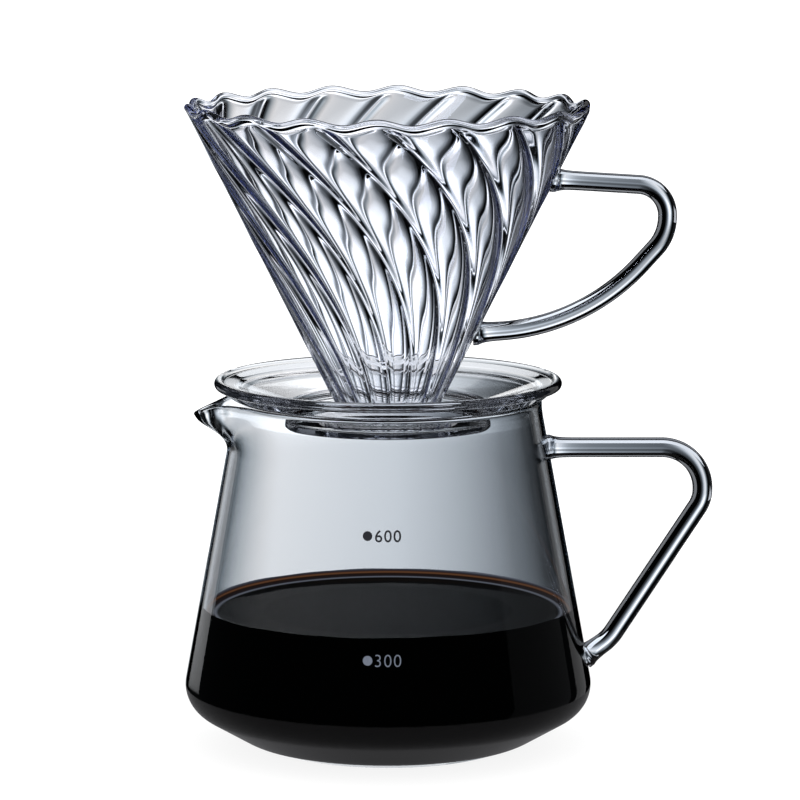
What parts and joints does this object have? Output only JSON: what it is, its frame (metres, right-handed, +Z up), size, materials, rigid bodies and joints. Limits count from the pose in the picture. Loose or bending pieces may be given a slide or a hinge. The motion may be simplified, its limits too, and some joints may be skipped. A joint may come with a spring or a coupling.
{
  "type": "glass pour over dripper and server",
  "caption": "Fluted glass pour over cone fused into a saucer, with a rod handle, resting on a conical glass server with a spout, a rod handle, volume marks and coffee inside.",
  "frame": {"origin": "centre of the server's flat foot, on the standing plane", "axes": "+Z up along the common axis of server and dripper, -X towards the spout, +X towards both handles, -Y towards the volume marks"},
  "size_m": [0.1569, 0.121, 0.192],
  "materials": {
    "smoked_glass": "clear, smoky blue grey",
    "rod_glass": "clear, smoky grey, thick",
    "saucer_glass": "clear, faintly grey",
    "cone_glass": "clear, faintly blue grey, ribbed",
    "coffee": "black liquid with a brown edge",
    "dark_print": "fired charcoal ink",
    "pale_print": "fired ink, pale over the coffee"
  },
  "bodies": {
    "server": {"server_body": "smoked_glass", "server_handle": "rod_glass", "coffee": "coffee", "volume_mark_600": "dark_print", "volume_mark_300": "pale_print"},
    "dripper": {"dripper_cone": "cone_glass", "dripper_base": "saucer_glass", "dripper_handle": "rod_glass"}
  },
  "joints": [
    {"name": "dripper_lift", "type": "slide", "parent": "server", "child": "dripper", "axis": [0, 0, 1], "range_m": [0, 0.12]}
  ]
}
